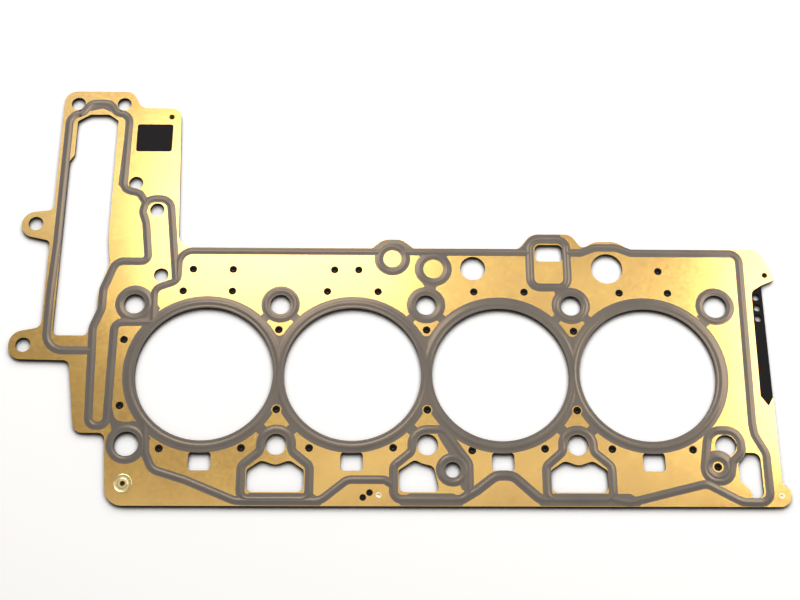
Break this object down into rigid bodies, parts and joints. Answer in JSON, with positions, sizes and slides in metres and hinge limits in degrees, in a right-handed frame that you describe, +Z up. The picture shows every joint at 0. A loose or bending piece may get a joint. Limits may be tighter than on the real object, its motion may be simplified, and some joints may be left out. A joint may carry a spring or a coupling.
{
  "type": "cylinder head gasket",
  "caption": "Multi-layer steel head gasket for an in-line engine: embossed sheets on a carrier, coated seal tracks, cylinder, bolt, coolant and oil openings, and a chain case flange.",
  "frame": {"origin": "centre of cylinder 1, in the plane that the gasket lies on", "axes": "+X along the row of cylinders, +Y towards the chain case flange, +Z up through the layers"},
  "size_m": [0.4786, 0.2755, 0.0024],
  "materials": {
    "coated_sheet": "gold rubber-lacquer over spring steel, glossy",
    "carrier_steel": "dark phosphated steel",
    "stopper_steel": "bare stainless strip",
    "rivet_steel": "plated steel",
    "seal_print": "screen-printed elastomer over the beads, half glossy"
  },
  "bodies": {
    "root": {"upper_sheet": "coated_sheet", "lower_sheet": "coated_sheet", "carrier_sheet": "carrier_steel", "stopper_ring_1": "stopper_steel", "stopper_ring_2": "stopper_steel", "stopper_ring_3": "stopper_steel", "stopper_ring_4": "stopper_steel", "hollow_rivet": "rivet_steel", "clinch_rivets": "rivet_steel"}
  },
  "joints": []
}
